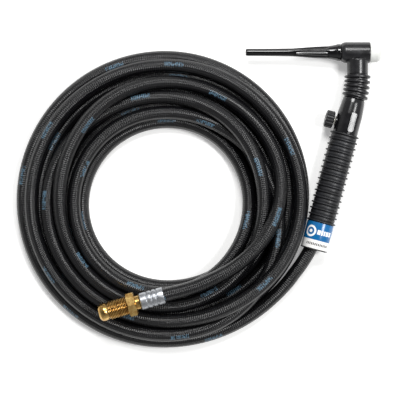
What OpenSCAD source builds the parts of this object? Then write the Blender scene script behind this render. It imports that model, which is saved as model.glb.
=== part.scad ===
// Gas tungsten arc welding torch, air cooled, with a flexible neck, a gas valve in the
// handle, a long back cap and a one-piece rubber power cable wound into a coil.
// The torch lies on its side on the floor. +Y runs along the handle towards the head,
// +Z is up, and the origin is the middle of the torch's own box, on the floor.

/* [Handle] */
// Length of the ribbed grip, with the printed band
grip_length = 142; // [120:1:170]
// Radius over the grip's ridges
ridge_radius = 17.2; // [15:0.1:20]
// Radius of the lands between the ridges
land_radius = 15.6; // [14:0.1:18]
// Number of ridges round the grip
ridge_count = 16; // [8:1:20]
// Length of the plain end that carries the printed band
band_length = 31; // [20:1:40]

/* [Valve] */
// Length of the moulded housing that shows above the grip
housing_length = 44; // [38:1:55]
// Radius of the housing next to the grip
housing_radius = 14.8; // [13:0.1:17]
// Radius of the gas valve's knob
knob_radius = 10.2; // [8:0.1:12]
// Thickness of the knob
knob_thickness = 10; // [7:0.5:14]

/* [Neck and head] */
// Length of the flexible neck along its middle
neck_length = 28.5; // [24:0.5:40]
// Angle that the neck is bent to
neck_bend = 15; // [5:1:30]
// Radius over the neck's folds
fold_radius = 15.2; // [13:0.1:17]
// Number of folds in the neck cover
fold_count = 5; // [3:1:8]
// Radius of the moulded head
head_radius = 12.5; // [11:0.1:14]
// Length of the back cap that shows behind the head
cap_length = 113; // [30:1:130]

/* [Cable] */
// Diameter of the rubber power cable
cable_diameter = 16; // [12:0.5:20]
// Outer radius of the coil
coil_outer_radius = 174; // [120:1:220]
// Inner radius of the coil
coil_inner_radius = 96; // [70:1:150]
// Height of the coil, two layers of cable
coil_height = 30; // [16:1:48]
// Radius of the male gas and power thread at the cable's far end
thread_radius = 11.11; // [7:0.01:13]
// Distance across the flats of the fitting's hexagon
hex_across_flats = 27; // [24:0.5:36]

/* [Show] */
// Sub-part to draw

/* [Hidden] */
$fn = 96;

// the middle of the torch's box, seen from the cable end of the handle's axis
origin = [-61, 128];
// the handle lies on its ridges
axis_z = ridge_radius;
cable_radius = cable_diameter / 2;

// handle
grip_bore = 12.4;
rim = 1.5;
band_thickness = 0.35;
ridge_half_width = 0.9;
ridge_pitch = (grip_length - band_length - rim - 2 * ridge_half_width) / (ridge_count - 1);

// valve, its axis pointing out of the handle's side
housing_top = grip_length + housing_length;
housing_skirt = 10;
housing_bore = 9.6;
valve_y = grip_length + 12.5;
boss_radius = 6.2;
boss_end = 15.2;
gland_radius = 4.5;
gland_inner_end = 6.5;
gland_outer_end = 16.2;
stem_radius = 2.4;
collar_radius = 3;
running_gap = 0.05;
knob_start = 17.2;
knob_flutes = 14;
seat_end = 5;
seat_start = 3;
o_ring_at = 10.5;

// neck, an arc that bends to the left as seen from above
arc_radius = neck_length * 180 / (PI * neck_bend);
tube_radius = 4;
cover_root = 12.6;
cover_bore = 9;
cover_gap = 0.1;

// head, measured from the crossing of its axis and the neck's
stub_length = 26.2;
head_rear = -19.6;
head_front = 14.3;
core_radius = 7.95;
core_rear = -13;
core_middle = -1;
core_front = 14;
cap_front = head_rear - 0.15;
cap_rear = cap_front - cap_length;
shank_radius = 7.5;
insert_radius = 5.15;
insert_root = 4.6;
tungsten_bore = 1.7;
gasket_length = 13;

// coil and the fitting that lies on it
coil_centre = [-190, 13];
fitting_start = [-157.3, -96.3, coil_height + 17.5];
fitting_turn = 210.8;
ferrule_radius = 9.9;
ferrule_length = 28.6;
ferrule_grooves = [8.2, 13.9, 19.5];
hex_start = 33.6;
thread_start = 43.8;
nose_start = 67;
fitting_length = 78;
gas_bore = 2.2;

// the cable's middle line, from the barb in the handle to the floor and the coil
run_route = [
  [0, 122, 17.2], [0, 80, 17.2], [0, 42, 17.2], [-0.6, 24, 17.2], [-2.4, 8, 16.8],
  [-4.6, -4, 15.8], [-8.5, -18, 13.4], [-13.5, -32, 10.6], [-20, -46, 8.6],
  [-28, -60, 8], [-38, -76, 8], [-51, -92, 8], [-66, -107, 8], [-84, -121, 8],
  [-105, -133, 8], [-128, -142, 8]
];
// and from the coil's inner top turn up into the crimp
tail_route = [
  [-86, -24, 22], [-92, -38, 24], [-101, -52, 28], [-112, -65, 33], [-125, -76.5, 39],
  [-138, -85.2, 44.5], [-148, -90.9, 47], [-157.3, -96.3, 47.5], [-176.2, -107.6, 47.5]
];

// places
module in_frame() translate([-origin[0], -origin[1], 0]) children();
module on_handle(y) translate([0, y, axis_z]) rotate([-90, 0, 0]) children();
module on_valve() translate([0, valve_y, axis_z]) rotate([0, -90, 0]) children();
module on_neck() translate([-arc_radius, housing_top, axis_z]) children();
module on_head() {
  on_neck()
    rotate([0, 0, neck_bend])
      translate([arc_radius, stub_length, 0])
        children();
}
module on_head_axis() on_head() rotate([0, 90, 0]) children();
module on_fitting() translate(fitting_start) rotate([0, 0, fitting_turn]) rotate([0, 90, 0]) children();

// a solid turned from pairs of radius and height
module turned(outline) rotate_extrude() polygon(outline);
module ring(outer, inner, height) {
  difference() {
    cylinder(r = outer, h = height);
    translate([0, 0, -1]) cylinder(r = inner, h = height + 2);
  }
}

// a tube swept along a smooth curve through route points, with rings square to it
function spline(a, b, c, d, t) =
  0.5 * (2 * b + (c - a) * t + (2 * a - 5 * b + 4 * c - d) * t * t
    + (3 * b - a - 3 * c + d) * t * t * t);
function at(route, i) = route[max(0, min(len(route) - 1, i))];
function smooth(route, steps) = [
  for (i = [0 : len(route) - 2], s = [0 : steps - 1])
    spline(at(route, i - 1), route[i], route[i + 1], at(route, i + 2), s / steps),
  route[len(route) - 1]
];
function unit(v) = v / norm(v);
function heading(line, i) = unit(at(line, i + 1) - at(line, i - 1));
function side(way) = unit(cross([0, 0, 1], way));
function hoop(line, i, radius, sides) =
  let (way = heading(line, i), across = side(way), up = cross(way, across))
    [for (k = [0 : sides - 1])
      line[i] + radius * (cos(360 * k / sides) * across + sin(360 * k / sides) * up)];
module swept(line, radius, sides) {
  last = len(line) - 1;
  points = [for (i = [0 : last]) each hoop(line, i, radius, sides)];
  walls = [
    for (i = [0 : last - 1], k = [0 : sides - 1])
      [i * sides + k, (i + 1) * sides + k,
        (i + 1) * sides + (k + 1) % sides, i * sides + (k + 1) % sides]
  ];
  start_cap = [for (k = [0 : sides - 1]) k];
  end_cap = [for (k = [sides - 1 : -1 : 0]) last * sides + k];
  polyhedron(points, concat(walls, [start_cap, end_cap]));
}

// Grip: one rubber moulding that slips over the cable joint, open at both ends.
module handle_grip() {
  seat = land_radius - 0.05;
  ridges = [
    for (i = [0 : ridge_count - 1])
      let (y = rim + band_length + ridge_half_width + i * ridge_pitch)
        each [
          [land_radius - 0.3, y - ridge_half_width],
          [ridge_radius, y - 0.3],
          [ridge_radius, y + 0.3],
          [land_radius - 0.3, y + ridge_half_width],
          [land_radius, y + 2 * ridge_half_width]
        ]
  ];
  outline = concat(
    [[grip_bore, 0], [seat + band_thickness - 0.5, 0], [seat + band_thickness, 0.5],
      [seat + band_thickness, rim], [seat, rim], [seat, rim + band_length]],
    [for (p = ridges) if (p[1] < grip_length) p],
    [[land_radius - 0.3, grip_length], [grip_bore, grip_length]]
  );
  color("#26272b") in_frame() on_handle(0) turned(outline);
}

// Printed band: a thin sleeve round the grip's plain end.
module handle_band() {
  color("#1f8fd6")
    in_frame()
      on_handle(rim)
        ring(land_radius - 0.05 + band_thickness, land_radius - 0.05, band_length);
}

// Housing: black moulding round the valve, with a skirt inside the grip, a boss for
// the gland and a raised pad on its upper face.
module valve_housing() {
  outline = [
    [housing_bore, -housing_skirt], [grip_bore, -housing_skirt], [grip_bore, 0],
    [housing_radius, 0], [housing_radius, 24], [housing_radius - 1.3, 38],
    [housing_radius - 1.8, 41], [housing_radius - 2.6, 43], [housing_radius - 4, 44],
    [6, 44], [6, 38], [housing_bore, 38]
  ];
  color("#1b1c1f") in_frame() difference() {
    union() {
      on_handle(grip_length) turned(outline);
      intersection() {
        on_handle(grip_length + 3) ring(housing_radius + 1, housing_bore + 1, 22.5);
        translate([-1, grip_length, axis_z]) cube([9, housing_length, 20]);
      }
      difference() {
        on_valve() cylinder(r = boss_radius, h = boss_end);
        on_handle(grip_length) cylinder(r = housing_bore, h = 38);
      }
    }
    on_valve() translate([0, 0, 5]) cylinder(r = gland_radius + 0.7, h = 20);
  }
}

// Valve body: brass block with the needle's cavity across it, a spigot for the cable
// nut below and a socket for the neck tube above.
module valve_body() {
  start = grip_length + 5;
  top = grip_length + 34;
  color("#b08a45") in_frame() difference() {
    union() {
      on_handle(start) cylinder(r = housing_bore - 0.1, h = top - start);
      on_handle(start - 9) cylinder(r = 6.4, h = 10);
    }
    on_valve() translate([0, 0, gland_inner_end]) cylinder(r = gland_radius, h = 6);
    on_valve() translate([0, 0, -seat_end])
      cylinder(r = collar_radius + running_gap, h = seat_end + gland_inner_end + 1);
    on_handle(start - 10) cylinder(r = gas_bore, h = valve_y - start + 10);
    on_handle(top - 10) cylinder(r = tube_radius + running_gap, h = 11);
    translate([6.4, 0, 0]) on_handle(valve_y) cylinder(r = 1.1, h = 13);
    translate([0, valve_y + 13, axis_z]) rotate([0, 90, 0]) cylinder(r = 1.1, h = 6.4);
    on_valve() translate([0, 0, -6.8]) cylinder(r = 1, h = 2);
    on_handle(valve_y + 12) cylinder(r = 1.4, h = 5);
  }
}

// Seat: plastic ring that the needle's point closes on.
module valve_seat() {
  color("#e8e6de")
    in_frame()
      on_valve()
        translate([0, 0, -seat_end])
          ring(collar_radius + running_gap, 1, seat_end - seat_start);
}

// Gland: plated brass bush that the stem turns in, with a small hexagon outside.
module valve_gland() {
  color("#b9b39f") in_frame() on_valve() difference() {
    union() {
      translate([0, 0, gland_inner_end])
        cylinder(r = gland_radius, h = gland_outer_end - gland_inner_end);
      translate([0, 0, boss_end]) cylinder(r = 5.4, h = gland_outer_end - boss_end, $fn = 6);
    }
    cylinder(r = stem_radius + running_gap, h = gland_outer_end + 1);
  }
}

// Stem: stainless needle with a threaded collar and a groove for its seal.
module valve_stem() {
  outline = [
    [0, -4.6], [0.3, -4.6], [0.9, -seat_start], [1.9, -0.4], [2.4, 0],
    [collar_radius, 0], [collar_radius, 4.5], [stem_radius, 4.5],
    [stem_radius, o_ring_at - 0.5], [stem_radius - 0.9, o_ring_at - 0.5],
    [stem_radius - 0.9, o_ring_at + 0.5], [stem_radius, o_ring_at + 0.5],
    [stem_radius, 25.4], [1.2, 25.4], [1.2, 19], [0, 19]
  ];
  color("#c9ccd0") in_frame() on_valve() turned(outline);
}

// Stem seal: rubber ring in the stem's groove.
module stem_o_ring() {
  color("#18181a")
    in_frame()
      on_valve()
        translate([0, 0, o_ring_at])
          rotate_extrude() translate([stem_radius - 0.45, 0]) circle(r = 0.4);
}

// Knob: black moulding with flutes round its rim and a recess for the screw.
module valve_knob() {
  outline = [
    [stem_radius, 0], [knob_radius - 1.2, 0], [knob_radius - 0.3, 0.4],
    [knob_radius, 1.3], [knob_radius, knob_thickness - 1.3],
    [knob_radius - 0.4, knob_thickness - 0.4], [knob_radius - 1.3, knob_thickness],
    [6, knob_thickness], [5.4, knob_thickness - 0.6], [3.2, knob_thickness - 0.6],
    [3.2, knob_thickness - 1.8], [stem_radius, knob_thickness - 1.8]
  ];
  color("#17181b") in_frame() on_valve() translate([0, 0, knob_start]) difference() {
    turned(outline);
    for (i = [0 : knob_flutes - 1])
      rotate([0, 0, 360 * i / knob_flutes])
        translate([knob_radius + 0.6, 0, -1])
          cylinder(r = 1.4, h = knob_thickness + 2);
  }
}

// Screw: slotted cheese head that holds the knob on its stem.
module knob_screw() {
  color("#c2c5c9") in_frame() on_valve() difference() {
    union() {
      translate([0, 0, 19.2]) cylinder(r = 1.2, h = 7);
      translate([0, 0, 25.4]) cylinder(r = 2.7, h = 1.5);
    }
    translate([-3, -0.35, 26.2]) cube([6, 0.7, 2]);
  }
}

// Cable nut: hexagon nut that draws the nipple onto the valve body.
module cable_nut() {
  start = grip_length - 14;
  color("#b48d47") in_frame() on_handle(start) difference() {
    cylinder(r = 8.6, h = 13, $fn = 6);
    translate([0, 0, 3]) cylinder(r = 6.4, h = 11);
    translate([0, 0, -1]) cylinder(r = 4.6, h = 5);
  }
}

// Nipple: brass tail with a cone seat, pressed into the cable's end.
module cable_nipple() {
  outline = [
    [gas_bore, 0], [4.2, 0], [4.2, 27], [4.5, 27], [4.5, 31], [6.2, 31],
    [6.2, 33.5], [gas_bore, 33.5]
  ];
  color("#b8924c") in_frame() on_handle(grip_length - 42) turned(outline);
}

// Ferrule inside the handle: aluminium sleeve crimped over the cable.
module handle_ferrule() {
  color("#b9bcc0") in_frame() on_handle(grip_length - 44) ring(9.2, cable_radius + 0.05, 22);
}

// Neck tube: soft copper tube that carries gas and current and holds the bend, with its
// ends swaged a little wider for their sockets.
module neck_rod(radius, swage, extra) {
  on_neck() rotate_extrude(angle = neck_bend) translate([arc_radius, 0]) circle(r = radius);
  on_handle(housing_top - 18 - extra) cylinder(r = radius + swage, h = 18.5 + extra);
  on_head() translate([0, -stub_length - 0.5, 0]) rotate([-90, 0, 0])
    cylinder(r = radius + swage, h = 13.5 + extra);
}
module neck_tube() {
  color("#b87348") in_frame() difference() {
    neck_rod(tube_radius - 0.2, 0.2, 0);
    neck_rod(tube_radius - 1.2, 0.2, 1);
  }
}

// Neck cover: rubber bellows bent with the tube inside it.
module neck_cover() {
  trim = cover_gap * neck_bend / neck_length;
  fold = neck_length / fold_count;
  outline = [
    [cover_bore, -0.36 * fold], [cover_root, -0.36 * fold], [fold_radius - 0.5, -0.2 * fold],
    [fold_radius, -0.08 * fold], [fold_radius, 0.08 * fold], [fold_radius - 0.5, 0.2 * fold],
    [cover_root, 0.36 * fold], [cover_bore, 0.36 * fold]
  ];
  color("#202124") in_frame() on_neck() {
    rotate([0, 0, trim]) rotate_extrude(angle = neck_bend - 2 * trim)
      translate([arc_radius, 0]) difference() {
        circle(r = cover_root);
        circle(r = cover_bore);
      }
    for (i = [0 : fold_count - 1])
      rotate([0, 0, neck_bend * (i + 0.5) / fold_count])
        translate([arc_radius, 0, 0])
          rotate([-90, 0, 0])
            turned(outline);
  }
}

// Head: black moulding in one piece with the stub that the neck cover meets.
module head_insulator() {
  outline = [
    [0, head_rear], [9.9, head_rear], [11.6, head_rear + 2.2],
    [head_radius - 0.2, head_rear + 4.2], [head_radius, head_rear + 6],
    [head_radius, head_front - 0.4], [head_radius - 0.4, head_front], [0, head_front]
  ];
  color("#1a1b1e") in_frame() difference() {
    union() {
      on_head_axis() turned(outline);
      on_head() translate([0, -stub_length, 0]) rotate([-90, 0, 0]) turned([
        [0, 0], [12.1, 0], [12.4, 0.4], [12.4, stub_length], [0, stub_length]
      ]);
    }
    on_head_axis() translate([0, 0, core_rear]) cylinder(r = core_radius, h = 30);
    on_head_axis() translate([0, 0, head_rear - 1])
      cylinder(r = shank_radius + 0.1, h = core_rear - head_rear + 1);
    on_head() translate([0, -stub_length - 1, 0]) rotate([-90, 0, 0]) cylinder(r = 6.2, h = 22);
  }
}

// Core: brass torch body, threaded for the collet body in front and the cap behind,
// with a socket down the stub for the neck tube.
module head_core() {
  color("#b8924c") in_frame() difference() {
    union() {
      on_head_axis() translate([0, 0, core_rear])
        cylinder(r = core_radius, h = core_front - core_rear);
      on_head() translate([0, 2 - stub_length, 0]) rotate([-90, 0, 0]) cylinder(r = 6.2, h = 20);
    }
    on_head_axis() translate([0, 0, core_middle]) cylinder(r = 4.37, h = 20);
    on_head_axis() translate([0, 0, core_rear - 1])
      cylinder(r = insert_radius + running_gap, h = core_middle - core_rear + 1);
    on_head() translate([0, 1 - stub_length, 0]) rotate([-90, 0, 0])
      cylinder(r = tube_radius + running_gap, h = 14);
    on_head() translate([0, 1 - stub_length, 0]) rotate([-90, 0, 0]) cylinder(r = gas_bore, h = 25);
  }
}

// Gasket: white ring in front of the head that the gas cup seats against.
module cup_gasket() {
  outline = concat(
    [[6, head_front + gasket_length], [6, head_front], [11.9, head_front]],
    [for (a = [0 : 15 : 75])
      [7.9 + 4 * cos(a), head_front + gasket_length - 6 + 6 * sin(a)]],
    [[7.9, head_front + gasket_length]]
  );
  color("#f2f2ee") in_frame() on_head_axis() turned(outline);
}

// Back cap: long black moulding, hollow for the tungsten, with a flared grip that has
// flutes along it and a shank that enters the head.
module back_cap() {
  outline = [
    [0, cap_rear], [3.7, cap_rear], [4.2, cap_rear + 0.5], [4.35, -112], [4.8, -78],
    [6.9, -51], [7.5, -36], [7.9, -33], [9.4, -25.5], [10, -24], [10.1, -21],
    [9.8, cap_front], [shank_radius, cap_front], [shank_radius, -18],
    [5.5, -18], [5.5, -15.9], [shank_radius, -15.9], [shank_radius, -14.6],
    [shank_radius - 0.4, -14.4], [0, -14.4]
  ];
  color("#121214") in_frame() on_head_axis() difference() {
    turned(outline);
    translate([0, 0, cap_rear + 5]) cylinder(r = tungsten_bore, h = cap_length);
    translate([0, 0, -26]) cylinder(r = insert_root, h = 20);
    for (i = [0 : 7])
      rotate([0, 0, 45 * i + 22.5])
        translate([7.4, 0, -78])
          rotate([0, 2.6, 0])
            union() {
              cylinder(r = 2.6, h = 42);
              translate([0, 0, 42]) sphere(r = 2.6);
            }
  }
}

// Insert: brass end of the cap that screws into the core and presses on the collet.
module back_cap_insert() {
  color("#bb944d") in_frame() on_head_axis() difference() {
    union() {
      translate([0, 0, -26]) cylinder(r = insert_root, h = 12);
      translate([0, 0, -14.4]) cylinder(r = insert_radius, h = 10.4);
    }
    translate([0, 0, -27]) cylinder(r = tungsten_bore, h = 30);
  }
}

// Cap seal: rubber ring in the shank's groove.
module back_cap_o_ring() {
  color("#1b1b1d")
    in_frame()
      on_head_axis()
        translate([0, 0, -16.95])
          rotate_extrude() translate([6.6, 0]) circle(r = 0.95);
}

// Cable from the nipple in the handle out to the floor and round to the coil.
module hose_run() {
  color("#232427") in_frame() swept(smooth(run_route, 4), cable_radius, 12);
}

// The coil's outer shape.
module hose_coil() {
  step = cable_radius;
  outline = [
    [coil_inner_radius, 3], [coil_inner_radius + 3, 0], [coil_outer_radius - 4, 0],
    [coil_outer_radius, 5], [coil_outer_radius, 11], [coil_outer_radius - step, coil_height - 5],
    [coil_outer_radius - step - 4, coil_height], [coil_inner_radius + step + 3, coil_height],
    [coil_inner_radius + step, coil_height - 4], [coil_inner_radius, 13]
  ];
  color("#232427") in_frame() translate(coil_centre) turned(outline);
}

// Cable from the top of the coil into the crimp.
module hose_tail() {
  color("#232427") in_frame() swept(smooth(tail_route, 4), cable_radius, 12);
}

// Crimp: aluminium sleeve with three pressed grooves.
module crimp_ferrule() {
  inner = cable_radius + 0.05;
  grooves = [
    for (g = ferrule_grooves)
      each [[ferrule_radius, g - 0.9], [ferrule_radius - 0.8, g], [ferrule_radius, g + 0.9]]
  ];
  outline = concat(
    [[inner, 0], [ferrule_radius - 0.5, 0], [ferrule_radius, 0.6]],
    grooves,
    [[ferrule_radius, ferrule_length - 1.5], [ferrule_radius - 1.2, ferrule_length],
      [6, ferrule_length], [6, ferrule_length - 3], [inner, ferrule_length - 3]]
  );
  color("#c4c7ca") in_frame() on_fitting() turned(outline);
}

// Fitting: brass, with a tail in the cable, a collar, a hexagon, the male thread at
// its major diameter and a rounded nose.
module cable_fitting() {
  nose_radius = thread_radius - 0.6;
  hex_length = thread_start - hex_start;
  outline = [
    [0, 4], [4.2, 4], [4.2, ferrule_length - 3], [5.9, ferrule_length - 3],
    [5.9, ferrule_length + 0.6], [8.2, ferrule_length + 0.6], [8.2, thread_start],
    [thread_radius, thread_start], [thread_radius, nose_start],
    [nose_radius - 0.8, nose_start], [nose_radius - 0.8, nose_start + 1.2],
    [nose_radius, nose_start + 1.2], [nose_radius, fitting_length - 2.5],
    [nose_radius - 0.8, fitting_length - 0.8], [nose_radius - 2.5, fitting_length],
    [0, fitting_length]
  ];
  chamfer = [
    [0, 0], [14, 0], [18, 2.2], [18, hex_length - 2.2], [14, hex_length], [0, hex_length]
  ];
  color("#c39a4c") in_frame() on_fitting() difference() {
    union() {
      turned(outline);
      translate([0, 0, hex_start]) intersection() {
        cylinder(r = hex_across_flats / sqrt(3), h = hex_length, $fn = 6);
        turned(chamfer);
      }
    }
    translate([0, 0, 3]) cylinder(r = gas_bore, h = fitting_length);
    translate([0, 0, fitting_length - 6]) turned([[0, 0], [2.2, 0], [6.6, 6.1], [0, 6.1]]);
  }
}

handle_grip();
handle_band();
valve_housing();
valve_body();
valve_seat();
valve_gland();
valve_stem();
stem_o_ring();
valve_knob();
knob_screw();
cable_nut();
cable_nipple();
handle_ferrule();
neck_tube();
neck_cover();
head_insulator();
head_core();
cup_gasket();
back_cap();
back_cap_insert();
back_cap_o_ring();
hose_run();
hose_coil();
hose_tail();
crimp_ferrule();
cable_fitting();
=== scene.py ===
import math

import bmesh
import bpy
import numpy as np
from mathutils import Matrix, Vector


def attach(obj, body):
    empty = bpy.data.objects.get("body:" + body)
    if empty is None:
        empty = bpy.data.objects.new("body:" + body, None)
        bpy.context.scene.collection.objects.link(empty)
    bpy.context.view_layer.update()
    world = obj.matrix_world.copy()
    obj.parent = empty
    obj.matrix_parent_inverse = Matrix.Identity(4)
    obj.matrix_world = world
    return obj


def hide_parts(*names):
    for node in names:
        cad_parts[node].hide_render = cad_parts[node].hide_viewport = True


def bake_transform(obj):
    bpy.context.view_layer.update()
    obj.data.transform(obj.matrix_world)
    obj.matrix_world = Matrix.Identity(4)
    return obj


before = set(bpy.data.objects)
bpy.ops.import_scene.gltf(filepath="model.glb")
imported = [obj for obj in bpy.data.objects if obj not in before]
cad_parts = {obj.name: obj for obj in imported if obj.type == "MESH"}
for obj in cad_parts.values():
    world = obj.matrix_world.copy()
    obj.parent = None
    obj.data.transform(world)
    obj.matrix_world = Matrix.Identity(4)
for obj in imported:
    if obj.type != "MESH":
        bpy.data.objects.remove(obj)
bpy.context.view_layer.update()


# Floor: a sheet of matt white acrylic, lit faintly from below as on a light table,
# far wider than the coil so that no edge of it shows.
def linear(colour):
    """An sRGB hex colour as the linear RGBA that sockets take."""
    values = [int(colour[i:i + 2], 16) / 255 for i in (1, 3, 5)]
    return [v / 12.92 if v <= 0.04045 else ((v + 0.055) / 1.055) ** 2.4 for v in values] + [1.0]


def add(tree, kind, inputs=None, **settings):
    """Adds a shader node, with its settings and with values or links on its inputs."""
    node = tree.nodes.new("ShaderNode" + kind)
    for name, value in settings.items():
        setattr(node, name, value)
    for name, value in (inputs or {}).items():
        if isinstance(value, bpy.types.NodeSocket):
            tree.links.new(value, node.inputs[name])
        else:
            node.inputs[name].default_value = value
    return node


def new_material(name):
    """An empty material and its node tree."""
    material = bpy.data.materials.new(name)
    material.use_nodes = True
    material.node_tree.nodes.clear()
    return material, material.node_tree


def surface(tree, **inputs):
    """Ends a material in one principled shader; an input's name has _ for its spaces."""
    shader = add(tree, "BsdfPrincipled", {k.replace("_", " "): v for k, v in inputs.items()})
    add(tree, "OutputMaterial", {"Surface": shader.outputs[0]})


def keep(bm, name, material, frame_matrix=None, crease=38):
    """Writes a bmesh to a smooth object at the origin; edges over crease degrees stay sharp."""
    bm.transform(frame_matrix or Matrix.Identity(4))
    bmesh.ops.recalc_face_normals(bm, faces=bm.faces)
    for face in bm.faces:
        face.smooth = True
    for edge in bm.edges:
        edge.smooth = len(edge.link_faces) == 2 and edge.calc_face_angle() < math.radians(crease)
    mesh = bpy.data.meshes.new(name)
    bm.to_mesh(mesh)
    bm.free()
    mesh.materials.append(material)
    piece = bpy.data.objects.new(name, mesh)
    bpy.context.scene.collection.objects.link(piece)
    return piece


FLOOR_REACH = 3
floor_bm = bmesh.new()
bmesh.ops.create_grid(floor_bm, x_segments=1, y_segments=1, size=FLOOR_REACH)
# matt opal acrylic has no reflections, and its own glow leaves only faint shadows;
# a noise of scale 400 has grains of 1/400 m, 2.5 mm, and so on for every pattern
acrylic, tree = new_material("opal acrylic, matt")
grain = add(tree, "TexNoise", {"Scale": 400.0, "Detail": 2.0})
bump = add(tree, "Bump", {"Height": grain.outputs[0], "Strength": 0.02, "Distance": 0.0002})
surface(
    tree, Base_Color=linear("#f4f4f3"), Roughness=0.9, Specular_IOR_Level=0.2,
    Emission_Color=(1, 1, 1, 1), Emission_Strength=0.27, Normal=bump.outputs[0],
)
keep(floor_bm, "floor", acrylic)

# Camera: straight above the coil, rolled so that the handle leans to the right.
# 480 mm of floor fill the frame's width.
CAMERA_HEIGHT, CAMERA_ROLL = 1.6, 15.1
camera_data = bpy.data.cameras.new("camera")
camera_data.lens = 120
camera_data.sensor_width = 36
camera = bpy.data.objects.new("camera", camera_data)
camera.location = (-0.0845, -0.1063, CAMERA_HEIGHT)
camera.rotation_euler = (0, 0, math.radians(CAMERA_ROLL))
bpy.context.scene.collection.objects.link(camera)
bpy.context.scene.camera = camera


# Light: a small bright soft box high on the right, a wide one beyond the far side
# of the coil, and a room with white walls and a dark ceiling.
def soft_box(name, place, width, height, watts):
    """An area lamp that faces the middle of the object."""
    data = bpy.data.lights.new(name, "AREA")
    data.shape = "RECTANGLE"
    data.size = width
    data.size_y = height
    data.energy = watts
    lamp = bpy.data.objects.new(name, data)
    lamp.location = place
    target = Vector((-0.08, -0.1, 0))
    lamp.rotation_euler = (Vector(place) - target).to_track_quat("Z", "Y").to_euler()
    bpy.context.scene.collection.objects.link(lamp)


soft_box("key_light", (1.06, 0.32, 1.9), 0.6, 0.6, 30)
soft_box("far_light", (-0.39, 1.05, 1.7), 0.85, 0.6, 31)
world = bpy.data.worlds.new("studio room")
world.use_nodes = True
way = add(world.node_tree, "TexCoord")
upwards = add(world.node_tree, "SeparateXYZ", {0: way.outputs["Generated"]})
walls = add(world.node_tree, "ValToRGB", {"Fac": upwards.outputs[2]})
HORIZON, CEILING = 0.5, 0.92
for stop, position, level in zip(walls.color_ramp.elements, (HORIZON, CEILING), (0.45, 0.08)):
    stop.position, stop.color = position, (level, level, level, 1)
world.node_tree.links.new(walls.outputs[0], world.node_tree.nodes["Background"].inputs["Color"])
bpy.context.scene.world = world
bpy.context.scene.view_settings.view_transform = "Standard"

# Power cable: a copper rope inside a 16 mm rubber gas hose, cured in cloth that
# leaves a fine weave on its skin, with small marks printed along it. 7.6 m of it
# leaves the handle, winds inwards on the floor in one layer, comes back outwards
# on top of it and dips into the crimp of the fitting.
CABLE_RADIUS = 0.008
TORCH = Vector((0.061, -0.128, 0))
COIL_CENTRE = np.array([-0.1251, -0.1171])
# the innermost turn lies this much off the outermost one's centre
SAG = np.array([-0.0018, -0.0067])
OUTERMOST, COIL_DEPTH = 0.1635, 0.063
# from the barb in the handle to the floor and the coil, from the torch's origin
RUN = [
    (0, 0.028, 0.0172), (-0.0006, 0.02, 0.0172), (-0.0024, 0.008, 0.0168),
    (-0.0046, -0.004, 0.0158), (-0.0085, -0.018, 0.0134), (-0.0135, -0.032, 0.0106),
    (-0.02, -0.046, 0.0086), (-0.028, -0.06, 0.008), (-0.038, -0.076, 0.008),
    (-0.051, -0.092, 0.008), (-0.066, -0.107, 0.008), (-0.084, -0.121, 0.008),
    (-0.105, -0.133, 0.008), (-0.128, -0.142, 0.008),
]
# from the coil's top down into the crimp
TAIL = [
    (-0.112, -0.065, 0.033), (-0.125, -0.0765, 0.039), (-0.138, -0.0852, 0.0445),
    (-0.148, -0.0909, 0.047), (-0.1573, -0.0963, 0.0475), (-0.1745, -0.1066, 0.0475),
]
START_ANGLE = -68.3
COIL_STEP, CABLE_STEP = 12, 0.006
# middle line of the coil: degrees turned, radius and height. Five turns inwards on
# the floor, then one on top of them by the inside, one outside, one inwards, and
# the last one crosses outwards and back in over the others to reach the crimp.
COIL = [
    (12, 0.1635, 0.008), (150, 0.1635, 0.008), (280, 0.1635, 0.008), (360, 0.1478, 0.008),
    (510, 0.1478, 0.008), (640, 0.1478, 0.008), (720, 0.132, 0.008), (870, 0.132, 0.008),
    (1000, 0.132, 0.008), (1080, 0.1162, 0.008), (1230, 0.1162, 0.008), (1360, 0.1162, 0.008),
    (1440, 0.1005, 0.008), (1530, 0.1005, 0.008), (1622, 0.1005, 0.008), (1680, 0.106, 0.017),
    (1722, 0.109, 0.022), (1806, 0.108, 0.022), (1896, 0.105, 0.022), (1950, 0.105, 0.022),
    (1986, 0.107, 0.022), (2020, 0.113, 0.022), (2050, 0.126, 0.022), (2080, 0.140, 0.022),
    (2110, 0.150, 0.022), (2166, 0.157, 0.022), (2256, 0.153, 0.022), (2346, 0.162, 0.022),
    (2410, 0.163, 0.022), (2440, 0.161, 0.026), (2475, 0.155, 0.034), (2500, 0.147, 0.027),
    (2526, 0.141, 0.022), (2616, 0.137, 0.022), (2660, 0.130, 0.022), (2706, 0.124, 0.022),
    (2736, 0.122, 0.027), (2762, 0.121, 0.035), (2790, 0.121, 0.028), (2820, 0.122, 0.022),
    (2886, 0.1245, 0.022), (2930, 0.124, 0.022), (2976, 0.121, 0.022), (3000, 0.124, 0.028),
    (3022, 0.130, 0.036), (3044, 0.138, 0.029), (3066, 0.144, 0.022), (3100, 0.1445, 0.022),
    (3128, 0.143, 0.026), (3150, 0.139, 0.035), (3168, 0.131, 0.037), (3184, 0.122, 0.037),
    (3200, 0.114, 0.036),
]


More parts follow.
